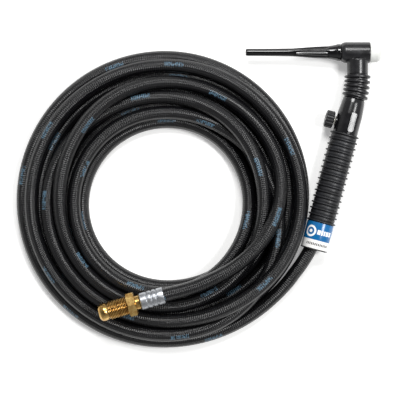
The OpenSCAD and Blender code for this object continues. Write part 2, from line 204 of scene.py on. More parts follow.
def smooth_line(points, step):
    """Points a step apart along one smooth curve through the given ones."""
    points = np.array(points, float)
    ends = np.concatenate([points[:1], points, points[-1:]])
    fine = []
    for a, b, c, d in zip(ends, ends[1:], ends[2:], ends[3:]):
        for s in np.linspace(0, 1, 12, endpoint=False):
            square, cube = 2 * a - 5 * b + 4 * c - d, 3 * b - a - 3 * c + d
            fine.append(0.5 * (2 * b + (c - a) * s + square * s**2 + cube * s**3))
    fine = np.array(fine + [points[-1]])
    along = np.concatenate([[0], np.cumsum(np.linalg.norm(np.diff(fine, axis=0), axis=1))])
    even = np.linspace(0, along[-1], round(along[-1] / step) + 1)
    return np.stack([np.interp(even, along, fine[:, k]) for k in range(3)], axis=1)


line = [[x + TORCH.x, y + TORCH.y, z] for x, y, z in RUN]
for degrees, radius, height in smooth_line(COIL, COIL_STEP):
    angle = math.radians(START_ANGLE - degrees)
    # no turn is a true circle
    radius += 0.0009 * math.sin(2 * angle + degrees * 0.011)
    radius += 0.0007 * math.sin(3 * angle + 1.3 + degrees * 0.007)
    middle = COIL_CENTRE + SAG * np.clip((OUTERMOST - radius) / COIL_DEPTH, 0, 1)
    line.append([*(middle + radius * np.array([math.cos(angle), math.sin(angle)])), height])
line += [[x + TORCH.x, y + TORCH.y, z] for x, y, z in TAIL]


def settle(line, obstacle, rounds=140, held_start=12, held_end=6):
    """Lets the line fall on the floor and on itself: strands push apart, and bend evenly."""
    look_reach, same_strand, fall, quiet_rounds = 0.03, 0.028, 0.00025, 30
    spots, home = line.copy(), line.copy()
    free = np.ones(len(spots))
    free[:held_start] = free[-held_end:] = 0
    free = free[:, None]
    step = np.linalg.norm(spots[1] - spots[0])
    apart = int(same_strand / step)
    for turn in range(rounds):
        if turn % 20 == 0:
            gaps = np.linalg.norm(spots[:, None] - spots[None], axis=2)
            i, j = np.nonzero(np.triu(gaps < look_reach, apart + 1))
        if turn < rounds - quiet_rounds:
            spots[:, 2] -= fall * free[:, 0]
        between = spots[i] - spots[j]
        gap = np.linalg.norm(between, axis=1)
        overlap = np.clip(2 * CABLE_RADIUS - gap, 0, None) / np.maximum(gap, 1e-6)
        push = np.zeros_like(spots)
        hits = np.zeros(len(spots))
        np.add.at(push, i, between * overlap[:, None])
        np.add.at(push, j, -between * overlap[:, None])
        np.add.at(hits, i, overlap > 0)
        np.add.at(hits, j, overlap > 0)
        spots += push * 0.5 / np.sqrt(np.maximum(hits, 1))[:, None] * free
        for start, end, radius in obstacle:
            part = end - start
            t = np.clip((spots - start) @ part / (part @ part), 0, 1)[:, None]
            out = spots - (start + t * part)
            distance = np.linalg.norm(out, axis=1)[:, None]
            pushed = out * (radius / np.maximum(distance, 1e-6) - 1)
            spots += np.where(distance < radius, pushed, 0) * free
        for reach in (1, 3, 6, 1):
            even = spots.copy()
            even[2 * reach:-2 * reach] = (
                4 * spots[reach:-3 * reach] + 4 * spots[3 * reach:-reach]
                - spots[:-4 * reach] - spots[4 * reach:]
            ) / 6
            # a wound cable keeps its own curl, so evening it out doesn't tighten the coil
            off = even[:, :2] - COIL_CENTRE
            part = reach * step / np.linalg.norm(off, axis=1)[:, None]
            even[:, :2] = COIL_CENTRE + off * 3 / (4 * np.cos(part) - np.cos(2 * part))
            spots += 0.5 * (even - spots) * free
        spots[:, :2] += 0.01 * (home - spots)[:, :2] * free
        spots[:, 2] = np.maximum(spots[:, 2], CABLE_RADIUS)
    return spots


FITTING_START, FITTING_TURN = Vector((-0.0963, -0.2243, 0.0475)), math.radians(210.8)
FITTING_AXIS = Vector((math.cos(FITTING_TURN), math.sin(FITTING_TURN), 0))
# the strands keep this far from the axis of the brass that lies on them
brass_ends = [np.array(FITTING_START + FITTING_AXIS * at) for at in (0.03, 0.078)]
fitting_room = [(*brass_ends, 0.0235)]
cable_line = settle(smooth_line(line, CABLE_STEP), fitting_room)


def swept_tube(centres, radius, sides):
    """A closed tube along the centres, with a UV map in metres: along it, and round it."""
    bm = bmesh.new()
    uv = bm.loops.layers.uv.new("skin")
    along = np.concatenate([[0], np.cumsum(np.linalg.norm(np.diff(centres, axis=0), axis=1))])
    rings = []
    for k, centre in enumerate(centres):
        ahead = Vector(centres[min(k + 1, len(centres) - 1)] - centres[max(k - 1, 0)]).normalized()
        side = ahead.cross(Vector((0, 0, 1))).normalized()
        up = side.cross(ahead)
        rings.append([
            bm.verts.new(Vector(centre) + radius * (math.cos(a) * up + math.sin(a) * side))
            for a in (2 * math.pi * n / sides for n in range(sides))
        ])
    # the print's line turns slowly round the cable as it lies
    twist = 0.45 * np.sin(along * 5.1) + 0.35 * np.sin(along * 2.3 + 1)
    for k, (ring, after) in enumerate(zip(rings, rings[1:])):
        for n in range(sides):
            face = bm.faces.new((ring[n], ring[(n + 1) % sides], after[(n + 1) % sides], after[n]))
            corners = ((k, n), (k, n + 1), (k + 1, n + 1), (k + 1, n))
            for loop, (row, step) in zip(face.loops, corners):
                loop[uv].uv = (along[row], radius * (2 * math.pi * step / sides + twist[row]))
    bm.faces.new(reversed(rings[0]))
    bm.faces.new(rings[-1])
    return bm


# Nitrile rubber skin, near black with a dull sheen. The cloth's ribs are 1.2 mm
# apart and drawn 2.4 mm apart so that they show. The print, small worn blocks that
# come back every 176 mm, is a blue-grey ink that the ribs break up.
PRINT_PITCH, PRINT_LENGTH, PRINT_HEIGHT, HALF_ROUND = 0.176, 0.022, 0.005, math.pi * CABLE_RADIUS
rubber, tree = new_material("cloth-cured nitrile rubber")
place = add(tree, "UVMap", uv_map="skin")
ribs = add(
    tree, "TexWave", {"Vector": place.outputs[0], "Scale": 131.0, "Distortion": 1.5, "Detail": 1.0},
    bands_direction="X",
)
threads = add(
    tree, "TexWave", {"Vector": place.outputs[0], "Scale": 105.0, "Distortion": 1.0, "Detail": 1.0},
    bands_direction="Y",
)
cloth = add(
    tree, "Math", {0: ribs.outputs["Fac"], 1: threads.outputs["Fac"], 2: ribs.outputs["Fac"]},
    operation="MULTIPLY_ADD",
)
where = add(tree, "SeparateXYZ", {0: place.outputs[0]})
repeat = add(tree, "Math", {0: where.outputs[0], 1: PRINT_PITCH}, operation="MODULO")
in_print = add(tree, "Math", {0: repeat.outputs[0], 1: PRINT_LENGTH}, operation="LESS_THAN")
across = add(tree, "Math", {0: where.outputs[1], 1: HALF_ROUND, 2: -HALF_ROUND}, operation="WRAP")
off_line = add(tree, "Math", {0: across.outputs[0]}, operation="ABSOLUTE")
in_line = add(tree, "Math", {0: off_line.outputs[0], 1: PRINT_HEIGHT / 2}, operation="LESS_THAN")
cells = add(tree, "VectorMath", {0: place.outputs[0], 1: (0.0011, 0.00125, 1.0)}, operation="SNAP")
chance = add(tree, "TexWhiteNoise", {"Vector": cells.outputs[0]})
# a block in three is missing, and the ribs wear the others
filled = add(tree, "Math", {0: chance.outputs["Value"], 1: 0.36}, operation="GREATER_THAN")
printed = add(tree, "Math", {0: in_print.outputs[0], 1: in_line.outputs[0]}, operation="MULTIPLY")
printed = add(tree, "Math", {0: printed.outputs[0], 1: filled.outputs[0]}, operation="MULTIPLY")
worn = add(
    tree, "MapRange",
    {"Value": ribs.outputs["Fac"], "From Min": 0.0, "From Max": 1.0, "To Min": 0.35, "To Max": 0.8},
)
ink = add(tree, "Math", {0: printed.outputs[0], 1: worn.outputs[0]}, operation="MULTIPLY")
mottle = add(tree, "TexNoise", {"Vector": place.outputs[0], "Scale": 45.0, "Detail": 3.0})
shade = add(tree, "ValToRGB", {"Fac": mottle.outputs[0]})
shade.color_ramp.elements[0].color = linear("#0b0b0d")
shade.color_ramp.elements[1].color = linear("#151518")
# painted shade: the weave's grooves are painted near black, darker than its ridges
painted_groove_shade = add(
    tree, "Mix", {0: cloth.outputs[0], 6: linear("#040405"), 7: shade.outputs[0]}, data_type="RGBA",
)
colour = add(
    tree, "Mix", {0: ink.outputs[0], 6: painted_groove_shade.outputs[2], 7: linear("#5a7b91")}, data_type="RGBA",
)
sheen_noise = add(tree, "MapRange", {"Value": mottle.outputs[0], "To Min": 0.24, "To Max": 0.35})
bump = add(tree, "Bump", {"Height": cloth.outputs[0], "Strength": 1.0, "Distance": 0.00026})
surface(
    tree, Base_Color=colour.outputs[2], Roughness=sheen_noise.outputs[0], Specular_IOR_Level=0.5,
    Normal=bump.outputs[0],
)

cable = keep(swept_tube(cable_line, CABLE_RADIUS, 24), "power_cable", rubber, crease=60)
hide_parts("hose_run", "hose_coil", "hose_tail")
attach(cable, "handle")

# Crimp ferrule: a turned aluminium sleeve squeezed onto the cable in three rings,
# which leaves four soft barrels; left as drawn, with a satin finish.
def rounded(corners, steps=5):
    """An outline of (height, radius) corners; a third number is the radius that rounds a corner."""
    outline = []
    for k, corner in enumerate(corners):
        here = Vector(corner[:2])
        if len(corner) == 2:
            outline.append(here)
            continue
        a = (Vector(corners[k - 1][:2]) - here).normalized()
        b = (Vector(corners[k + 1][:2]) - here).normalized()
        half = a.angle(b) / 2
        centre = here + (a + b).normalized() * corner[2] / math.sin(half)
        start, end = (here + side * corner[2] / math.tan(half) - centre for side in (a, b))
        sweep = start.angle(end)
        for n in range(steps + 1):
            part = n / steps * sweep
            spoke = start * math.sin(sweep - part) + end * math.sin(part)
            outline.append(centre + spoke / math.sin(sweep))
    return outline


def turned(outline, sides):
    """A bmesh turned round the Z axis from (height, radius) points."""
    bm = bmesh.new()
    verts = [bm.verts.new((radius, 0, height)) for height, radius in outline]
    edges = [bm.edges.new(pair) for pair in zip(verts, verts[1:])]
    bmesh.ops.spin(
        bm, geom=verts + edges, axis=(0, 0, 1), cent=(0, 0, 0), angle=2 * math.pi, steps=sides,
        use_merge=True,
    )
    bmesh.ops.remove_doubles(bm, verts=bm.verts, dist=1e-6)
    return bm


def standing(place, axis):
    """The matrix that stands a piece turned round Z on a point, pointing along an axis."""
    return Matrix.Translation(place) @ Vector(axis).to_track_quat("Z", "Y").to_matrix().to_4x4()


def fit(piece, slot, body, *cad_nodes):
    """Says what a finished piece stands for, and what it moves with."""
    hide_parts(*cad_nodes)
    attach(piece, body)


# drawn aluminium: fine rings 0.4 mm apart and faint smears blur what it reflects
aluminium, tree = new_material("drawn aluminium, satin")
place = add(tree, "TexCoord")
along = add(
    tree, "Mapping",
    {
        "Vector": place.outputs["Object"], "Rotation": (0, 0, -FITTING_TURN),
        "Scale": (2600.0, 60.0, 60.0),
    },
)
lines = add(tree, "TexNoise", {"Vector": along.outputs[0], "Scale": 1.0, "Detail": 2.0})
smears = add(tree, "TexNoise", {"Vector": place.outputs["Object"], "Scale": 260.0, "Detail": 4.0})
tone = add(tree, "ValToRGB", {"Fac": smears.outputs[0]})
tone.color_ramp.elements[0].position, tone.color_ramp.elements[0].color = 0.3, linear("#9b9ea3")
tone.color_ramp.elements[1].position, tone.color_ramp.elements[1].color = 0.7, linear("#c2c5c9")
dull = add(tree, "MapRange", {"Value": smears.outputs[0], "To Min": 0.3, "To Max": 0.5})
bump = add(tree, "Bump", {"Height": lines.outputs[0], "Strength": 0.25, "Distance": 0.0001})
surface(
    tree, Base_Color=tone.outputs[0], Metallic=1.0, Roughness=dull.outputs[0],
    Normal=bump.outputs[0],
)
FERRULE, FERRULE_LENGTH, FERRULE_BORE, GROOVE_DEPTH = 0.0099, 0.0286, 0.00805, 0.0009
on_fitting = standing(FITTING_START, FITTING_AXIS)
ferrule_outline = [(0.0256, FERRULE_BORE), (0, FERRULE_BORE, 0.0002), (0, FERRULE - 0.0002, 0.0004)]
for groove_at in (0.0082, 0.0139, 0.0195):
    ferrule_outline += [
        (groove_at - 0.0011, FERRULE, 0.0006), (groove_at - 0.0004, FERRULE - GROOVE_DEPTH, 0.0003),
        (groove_at + 0.0004, FERRULE - GROOVE_DEPTH, 0.0003), (groove_at + 0.0011, FERRULE, 0.0006),
    ]
ferrule_outline += [
    (0.0274, FERRULE, 0.0006), (FERRULE_LENGTH, 0.0088, 0.0003), (FERRULE_LENGTH, 0.006),
    (0.0256, 0.006), (0.0256, FERRULE_BORE),
]
ferrule = keep(turned(rounded(ferrule_outline), 96), "crimp_sleeve", aluminium, on_fitting)
fit(ferrule, "aluminium", "handle", "crimp_ferrule")

# Cable fitting: one bar of yellow brass, turned bright with a hexagon of 27 mm, a
# male thread of 7/8 inch with 14 turns to the inch, and a rounded nose for the seal.
# Tool rings 0.3 mm apart, and patches dulled by hands, break up its shine.
brass, tree = new_material("turned yellow brass")
place = add(tree, "TexCoord")
along = add(
    tree, "Mapping",
    {
        "Vector": place.outputs["Object"], "Rotation": (0, 0, -FITTING_TURN),
        "Scale": (3200.0, 50.0, 50.0),
    },
)
lines = add(tree, "TexNoise", {"Vector": along.outputs[0], "Scale": 1.0, "Detail": 2.0})
stains = add(
    tree, "TexNoise",
    {"Vector": place.outputs["Object"], "Scale": 190.0, "Detail": 5.0, "Roughness": 0.6},
)
tone = add(tree, "ValToRGB", {"Fac": stains.outputs[0]})
tone.color_ramp.elements[0].position, tone.color_ramp.elements[0].color = 0.32, linear("#b0864a")
tone.color_ramp.elements[1].position, tone.color_ramp.elements[1].color = 0.68, linear("#dcbb78")
dull = add(tree, "MapRange", {"Value": stains.outputs[0], "To Min": 0.18, "To Max": 0.36})
bump = add(tree, "Bump", {"Height": lines.outputs[0], "Strength": 0.2, "Distance": 0.00008})
# painted shade: the thread's root, less than 10.9 mm from the fitting's axis, is painted dark brown
start = Matrix.Rotation(-FITTING_TURN, 3, "Z") @ FITTING_START
on_axis = add(
    tree, "Mapping",
    {"Vector": place.outputs["Object"], "Rotation": (0, 0, -FITTING_TURN), "Location": -start},
)
reach = add(tree, "SeparateXYZ", {0: on_axis.outputs[0]})
off_axis = add(tree, "CombineXYZ", {0: reach.outputs[1], 1: reach.outputs[2]})
depth = add(tree, "VectorMath", {0: off_axis.outputs[0]}, operation="LENGTH")
root = add(
    tree, "MapRange",
    {
        "Value": depth.outputs["Value"], "From Min": 0.0099, "From Max": 0.0109, "To Min": 0.75,
        "To Max": 0.0,
    },
)
THREAD_MIDDLE, THREAD_HALF = 0.0556, 0.0117
threaded = add(
    tree, "Math", {0: reach.outputs[0], 1: THREAD_MIDDLE, 2: THREAD_HALF}, operation="COMPARE",
)
root_shade = add(tree, "Math", {0: root.outputs[0], 1: threaded.outputs[0]}, operation="MULTIPLY")
colour = add(
    tree, "Mix", {0: root_shade.outputs[0], 6: tone.outputs[0], 7: linear("#4a3216")}, data_type="RGBA",
)
surface(
    tree, Base_Color=colour.outputs[2], Metallic=1.0, Roughness=dull.outputs[0],
    Normal=bump.outputs[0],
)
THREAD_START, THREAD_END, THREAD_PITCH = 0.0438, 0.067, 0.0254 / 14
THREAD_CREST, THREAD_ROOT = 0.01108, 0.00995
stem_outline = [
    (0.0292, 0), (0.0292, 0.0082), (0.0334, 0.0082), (0.0334, 0.0078),
    (THREAD_START + 0.0006, 0.0078), (THREAD_START + 0.0006, THREAD_ROOT - 0.0001),
    (THREAD_END + 0.0004, THREAD_ROOT - 0.0001), (THREAD_END + 0.0004, 0.0091),
    (THREAD_END + 0.0012, 0.0091), (THREAD_END + 0.0012, 0.0098, 0.0003), (0.0712, 0.0106, 0.003),
    (0.0757, 0.0101, 0.003), (0.078, 0.0076, 0.0015), (0.078, 0.0066, 0.0003), (0.0722, 0.0023),
    (0.034, 0.0022), (0.034, 0),
]
fitting_bm = turned(rounded(stem_outline), 96)
# the thread: a ridge one pitch wide swept along a helix, run out at both ends
thread_bm = bmesh.new()
ridge = [
    (-0.5, THREAD_ROOT), (-0.2, THREAD_CREST - 0.00025), (-0.1, THREAD_CREST - 0.00005),
    (0, THREAD_CREST), (0.1, THREAD_CREST - 0.00005), (0.2, THREAD_CREST - 0.00025),
    (0.5, THREAD_ROOT),
]
verts = [
    thread_bm.verts.new((radius, 0, THREAD_START + (0.5 + at) * THREAD_PITCH))
    for at, radius in ridge
]
edges = [thread_bm.edges.new(pair) for pair in zip(verts, verts[1:])]
turns, steps_a_turn = round((THREAD_END - THREAD_START) / THREAD_PITCH), 72
bmesh.ops.spin(
    thread_bm, geom=verts + edges, axis=(0, 0, 1), cent=(0, 0, 0), angle=2 * math.pi * turns,
    steps=steps_a_turn * turns, dvec=(0, 0, THREAD_PITCH / steps_a_turn),
)
bmesh.ops.remove_doubles(thread_bm, verts=thread_bm.verts, dist=2e-6)


def press(vert, radius, depth):
    """Moves a vertex at a radius from the Z axis inwards by a depth."""
    vert.co.x *= 1 - depth / radius
    vert.co.y *= 1 - depth / radius


for vert in thread_bm.verts:
    vert.co.z = min(vert.co.z, THREAD_END)
    radius = math.hypot(vert.co.x, vert.co.y)
    from_end = max(0, (THREAD_END - vert.co.z) / THREAD_PITCH)
    from_start = max(0, (vert.co.z - THREAD_START) / THREAD_PITCH + 0.4)
    press(vert, radius, (radius - THREAD_ROOT) * (1 - min(1, from_end, from_start)))


def join(bm, other):
    """Adds one bmesh's faces to another's."""
    mesh = bpy.data.meshes.new("joined")
    other.to_mesh(mesh)
    other.free()
    bm.from_mesh(mesh)
    bpy.data.meshes.remove(mesh)


join(fitting_bm, thread_bm)
ACROSS_FLATS, HEX_CHAMFER, HEX_CORNER = 0.027, 0.0128, 0.0157
hexagon_bm = turned(rounded([
    (0.0336, 0), (0.0336, HEX_CHAMFER), (0.035, HEX_CORNER), (0.0424, HEX_CORNER),
    (0.0438, HEX_CHAMFER), (0.0438, 0),
]), 96)
for side in range(6):
    way = Vector((math.cos(side * math.pi / 3), math.sin(side * math.pi / 3), 0))
    everything = hexagon_bm.verts[:] + hexagon_bm.edges[:] + hexagon_bm.faces[:]
    bmesh.ops.bisect_plane(
        hexagon_bm, geom=everything, dist=1e-7, plane_co=way * ACROSS_FLATS / 2, plane_no=way,
        clear_outer=True,
    )
    open_edges = [edge for edge in hexagon_bm.edges if edge.is_boundary]
    bmesh.ops.holes_fill(hexagon_bm, edges=open_edges, sides=0)
join(fitting_bm, hexagon_bm)
fitting = keep(fitting_bm, "brass_fitting", brass, on_fitting, crease=28)
fit(fitting, "fitting_brass", "handle", "cable_fitting")

# Cable joint inside the handle: the hose's brass tail and its nut, and the
# aluminium crimp that holds the hose on the tail. Seen only from the open end.
def dress(material, *cad_nodes):
    """Gives CAD nodes whose shape is right their finished material."""
    for name in cad_nodes:
        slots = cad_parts[name].data.materials
        slots.clear()
        slots.append(material)


# brass left as machined and hidden, so brown and blotched
inner_brass, tree = new_material("machined brass, dull")
place = add(tree, "TexCoord")
stains = add(tree, "TexNoise", {"Vector": place.outputs["Object"], "Scale": 240.0, "Detail": 5.0})
tone = add(tree, "ValToRGB", {"Fac": stains.outputs[0]})
tone.color_ramp.elements[0].color = linear("#8f6c33")
tone.color_ramp.elements[1].color = linear("#cfa959")
dull = add(tree, "MapRange", {"Value": stains.outputs[0], "To Min": 0.25, "To Max": 0.5})
bump = add(tree, "Bump", {"Height": stains.outputs[0], "Strength": 0.2, "Distance": 0.0001})
surface(
    tree, Base_Color=tone.outputs[0], Metallic=1.0, Roughness=dull.outputs[0],
    Normal=bump.outputs[0],
)
dress(inner_brass, "cable_nut", "cable_nipple", "valve_body", "head_core", "back_cap_insert")
dress(aluminium, "handle_ferrule")

# Valve internals: a nylon seat, a nickel-plated gland, a stainless needle with its
# nitrile seal, and the stainless screw that holds the knob.
# The nylon is a waxy off-white that the light enters a little.
nylon, tree = new_material("natural nylon")
place = add(tree, "TexCoord")
cloud = add(tree, "TexNoise", {"Vector": place.outputs["Object"], "Scale": 300.0, "Detail": 3.0})
tone = add(tree, "ValToRGB", {"Fac": cloud.outputs[0]})
tone.color_ramp.elements[0].color = linear("#dedace")
tone.color_ramp.elements[1].color = linear("#efece2")
surface(
    tree, Base_Color=tone.outputs[0], Roughness=0.45, IOR=1.53, Subsurface_Weight=0.2,
    Subsurface_Scale=0.001,
)
dress(nylon, "valve_seat")
# nickel plate is a warm mirror, drawn out by the turned steel under it
plated, tree = new_material("nickel plate on steel")
place = add(tree, "TexCoord")
along = add(tree, "Mapping", {"Vector": place.outputs["Object"], "Scale": (4000.0, 90.0, 90.0)})
lines = add(tree, "TexNoise", {"Vector": along.outputs[0], "Scale": 1.0, "Detail": 2.0})
tone = add(tree, "ValToRGB", {"Fac": lines.outputs[0]})
tone.color_ramp.elements[0].color = linear("#b9b7ae")
tone.color_ramp.elements[1].color = linear("#dbd9d1")
bump = add(tree, "Bump", {"Height": lines.outputs[0], "Strength": 0.15, "Distance": 0.00005})
surface(tree, Base_Color=tone.outputs[0], Metallic=1.0, Roughness=0.16, Normal=bump.outputs[0])
dress(plated, "valve_gland", "valve_stem", "knob_screw")
# nitrile seals are a dull, slightly dusty black
nitrile, tree = new_material("nitrile seal rubber")
place = add(tree, "TexCoord")
dust = add(tree, "TexNoise", {"Vector": place.outputs["Object"], "Scale": 700.0, "Detail": 3.0})
tone = add(tree, "ValToRGB", {"Fac": dust.outputs[0]})
tone.color_ramp.elements[0].color = linear("#121213")
tone.color_ramp.elements[1].color = linear("#232325")
surface(tree, Base_Color=tone.outputs[0], Roughness=0.55)
dress(nitrile, "stem_o_ring", "back_cap_o_ring")

# Handle grip: one soft rubber moulding pushed over the valve's housing, with
# sixteen sharp rings for the hand and a plain end that carries the printed sleeve.
HANDLE = (0.061, -0.128, 0.0172)
GRIP_LENGTH, GRIP_BORE, LAND, RIDGE = 0.142, 0.0124, 0.0156, 0.0174
RIM, SLEEVE_LENGTH = 0.0015, 0.031
on_handle = standing(HANDLE, (0, 1, 0))
# satin rubber: grey-black, with faint streaks along the handle that break its sheen
grip_rubber, tree = new_material("moulded grip rubber, satin")
place = add(tree, "TexCoord")
grain = add(tree, "Mapping", {"Vector": place.outputs["Object"], "Scale": (1500.0, 420.0, 1500.0)})
striae = add(tree, "TexNoise", {"Vector": grain.outputs[0], "Scale": 1.0, "Detail": 3.0})
patches = add(tree, "TexNoise", {"Vector": place.outputs["Object"], "Scale": 110.0, "Detail": 4.0})
tone = add(tree, "ValToRGB", {"Fac": patches.outputs[0]})
tone.color_ramp.elements[0].position, tone.color_ramp.elements[0].color = 0.35, linear("#121214")
tone.color_ramp.elements[1].position, tone.color_ramp.elements[1].color = 0.7, linear("#222327")
dull = add(tree, "MapRange", {"Value": striae.outputs[0], "To Min": 0.3, "To Max": 0.6})
bump = add(tree, "Bump", {"Height": striae.outputs[0], "Strength": 0.6, "Distance": 0.0002})
surface(
    tree, Base_Color=tone.outputs[0], Roughness=dull.outputs[0], Specular_IOR_Level=0.5,
    Normal=bump.outputs[0],
)
grip_outline = [
    (0, GRIP_BORE), (0, LAND + 0.0003, 0.0005), (RIM, LAND + 0.0003, 0.0002), (RIM, LAND - 0.0001),
    (RIM + SLEEVE_LENGTH, LAND - 0.0001),
]
RING_COUNT = 16
ridge_pitch = (GRIP_LENGTH - SLEEVE_LENGTH - RIM - 0.0028) / (RING_COUNT - 1)
for ridge_number in range(RING_COUNT):
    at = RIM + SLEEVE_LENGTH + 0.0018 + ridge_number * ridge_pitch
    grip_outline += [
        (at - 0.0015, LAND - 0.001, 0.0002), (at - 0.0006, RIDGE, 0.0003),
        (at + 0.0005, RIDGE, 0.0003), (at + 0.0015, LAND - 0.0008, 0.0002),
    ]
    if ridge_number < RING_COUNT - 1:
        grip_outline += [
            (at + 0.0023, LAND - 0.0002, 0.0006),
            (at + ridge_pitch - 0.0024, LAND - 0.0002, 0.0006),
        ]
grip_outline[-2:] = [(GRIP_LENGTH - 0.0004, RIDGE, 0.0003), (GRIP_LENGTH, LAND - 0.0003)]
grip_outline += [(GRIP_LENGTH, GRIP_BORE), (0, GRIP_BORE)]
grip = keep(turned(rounded(grip_outline, 3), 96), "ribbed_grip", grip_rubber, on_handle)
fit(grip, "grip_rubber", "handle", "handle_grip")

# Printed sleeve: thin gloss vinyl shrunk round the grip's plain end, blue over a
# white strip, with plain marks: a ringed dot, a row of bars and a row of dashes.
SLEEVE_RADIUS = LAND + 0.0003
print_bm = turned(rounded([
    (RIM, LAND), (RIM, SLEEVE_RADIUS, 0.0001), (RIM + SLEEVE_LENGTH, SLEEVE_RADIUS, 0.0001),
    (RIM + SLEEVE_LENGTH, LAND), (RIM, LAND),
], 3), 128)
# where the marks are, in metres along the handle and round it from the top
WHITE_END, DOT_PLACE, DOT_SIZE = 0.0118, (-0.0108, 0.0212, 0), 0.01
ROW_AT, ROW_HALF, ROW_START, ROW_END = 0.0213, 0.0027, -0.0030, 0.0170
DASHES_AT, DASHES_HALF, DASH_PITCH, DASH_LENGTH = 0.0068, 0.0014, 0.0021, 0.0012
DASHES_MIDDLE, DASHES_REACH = 0.0015, 0.0145
# gloss vinyl: strong flat colours under a clear, slightly rippled reflection
vinyl, tree = new_material("printed vinyl, gloss")
place = add(tree, "TexCoord")
centred = add(
    tree, "Mapping", {"Vector": place.outputs["Object"], "Location": [-part for part in HANDLE]},
)
spot = add(tree, "SeparateXYZ", {0: centred.outputs[0]})
angle = add(tree, "Math", {0: spot.outputs[0], 1: spot.outputs[2]}, operation="ARCTAN2")
around = add(tree, "Math", {0: angle.outputs[0], 1: SLEEVE_RADIUS}, operation="MULTIPLY")
on_blue = add(tree, "Math", {0: spot.outputs[1], 1: WHITE_END}, operation="GREATER_THAN")
ground = add(
    tree, "Mix", {0: on_blue.outputs[0], 6: linear("#f1f0ee"), 7: linear("#0a629c")},
    data_type="RGBA",
)
flat = add(tree, "CombineXYZ", {0: around.outputs[0], 1: spot.outputs[1]})
from_dot = add(tree, "VectorMath", {0: flat.outputs[0], 1: DOT_PLACE}, operation="DISTANCE")
disc_place = add(tree, "Math", {0: from_dot.outputs["Value"], 1: DOT_SIZE}, operation="DIVIDE")
disc = add(tree, "ValToRGB", {"Fac": disc_place.outputs[0]})
disc.color_ramp.interpolation = "CONSTANT"
stops = disc.color_ramp.elements
stops[0].position, stops[0].color = 0, (1, 1, 1, 1)
stops[1].position, stops[1].color = 0.68, (0, 0, 0, 1)
for position, level in ((0.2, 0), (0.44, 1)):
    stops.new(position).color = (level, level, level, 1)
letters = add(
    tree, "MapRange", {"Value": around.outputs[0], "From Min": ROW_START, "From Max": ROW_END},
)
bars = add(tree, "ValToRGB", {"Fac": letters.outputs[0]})
bars.color_ramp.interpolation = "CONSTANT"
stops = bars.color_ramp.elements
stops[0].position, stops[0].color = 0, (0, 0, 0, 1)
stops[1].position, stops[1].color = 0.97, (0, 0, 0, 1)
for number, position in enumerate((0.03, 0.22, 0.27, 0.37, 0.42, 0.52, 0.57, 0.75, 0.8)):
    level = 1 - number % 2
    stops.new(position).color = (level, level, level, 1)
from_row = add(tree, "Math", {0: spot.outputs[1], 1: ROW_AT, 2: ROW_HALF}, operation="COMPARE")
row = add(tree, "Math", {0: bars.outputs[0], 1: from_row.outputs[0]}, operation="MULTIPLY")
white = add(tree, "Math", {0: row.outputs[0], 1: disc.outputs[0]}, operation="MAXIMUM")
marked = add(
    tree, "Mix", {0: white.outputs[0], 6: ground.outputs[2], 7: linear("#f3f3f1")},
    data_type="RGBA",
)
dash = add(tree, "Math", {0: around.outputs[0], 1: DASH_PITCH, 2: 0.0}, operation="WRAP")
is_dash = add(tree, "Math", {0: dash.outputs[0], 1: DASH_LENGTH}, operation="LESS_THAN")
in_dashes = add(
    tree, "Math", {0: spot.outputs[1], 1: DASHES_AT, 2: DASHES_HALF}, operation="COMPARE",
)
near_top = add(
    tree, "Math", {0: around.outputs[0], 1: DASHES_MIDDLE, 2: DASHES_REACH}, operation="COMPARE",
)
dashes = add(tree, "Math", {0: is_dash.outputs[0], 1: in_dashes.outputs[0]}, operation="MULTIPLY")
dashes = add(tree, "Math", {0: dashes.outputs[0], 1: near_top.outputs[0]}, operation="MULTIPLY")
colour = add(
    tree, "Mix", {0: dashes.outputs[0], 6: marked.outputs[2], 7: linear("#2d2829")},
    data_type="RGBA",
)
orange_peel = add(
    tree, "TexNoise", {"Vector": place.outputs["Object"], "Scale": 500.0, "Detail": 1.0},
)
bump = add(tree, "Bump", {"Height": orange_peel.outputs[0], "Strength": 0.1, "Distance": 0.0001})
surface(tree, Base_Color=colour.outputs[2], Roughness=0.22, Normal=bump.outputs[0])
sleeve = keep(print_bm, "printed_sleeve", vinyl, on_handle)
fit(sleeve, "band_print", "handle", "handle_band")

# Valve housing: a glossy glass-filled nylon moulding round the brass valve block,
# with a boss for the stem on its left and a raised flat pad on top.
HOUSING = (0.061, 0.014, 0.0172)
STEM = (0.061, 0.0265, 0.0172)
# mould-polished nylon: deep black with clear reflections, hazed in patches by hands
gloss_nylon, tree = new_material("moulded black nylon, gloss")
place = add(tree, "TexCoord")
flow = add(
    tree, "TexNoise",
    {"Vector": place.outputs["Object"], "Scale": 90.0, "Detail": 5.0, "Roughness": 0.6},
)
tone = add(tree, "ValToRGB", {"Fac": flow.outputs[0]})
tone.color_ramp.elements[0].position, tone.color_ramp.elements[0].color = 0.3, linear("#0b0b0d")
tone.color_ramp.elements[1].position, tone.color_ramp.elements[1].color = 0.75, linear("#17171a")
handled = add(tree, "MapRange", {"Value": flow.outputs[0], "To Min": 0.12, "To Max": 0.28})
fine = add(tree, "TexNoise", {"Vector": place.outputs["Object"], "Scale": 420.0, "Detail": 2.0})
bump = add(tree, "Bump", {"Height": fine.outputs[0], "Strength": 0.12, "Distance": 0.0001})
surface(
    tree, Base_Color=tone.outputs[0], Roughness=handled.outputs[0], IOR=1.53,
    Normal=bump.outputs[0],
)
housing_bm = turned(rounded([
    (0.0001, 0.0098), (0.0001, 0.0148, 0.0004), (0.024, 0.0148, 0.004), (0.038, 0.0135, 0.006),
    (0.0432, 0.0126, 0.0022), (0.044, 0.0104, 0.0006), (0.044, 0.006), (0.038, 0.006),
    (0.038, 0.0098), (0.0001, 0.0098),
], 6), 96)
boss_bm = turned(rounded([
    (0.0118, 0.0052), (0.0118, 0.0078), (0.0136, 0.0064, 0.001), (0.0152, 0.0062, 0.0006),
    (0.0152, 0.0052), (0.0118, 0.0052),
]), 64)
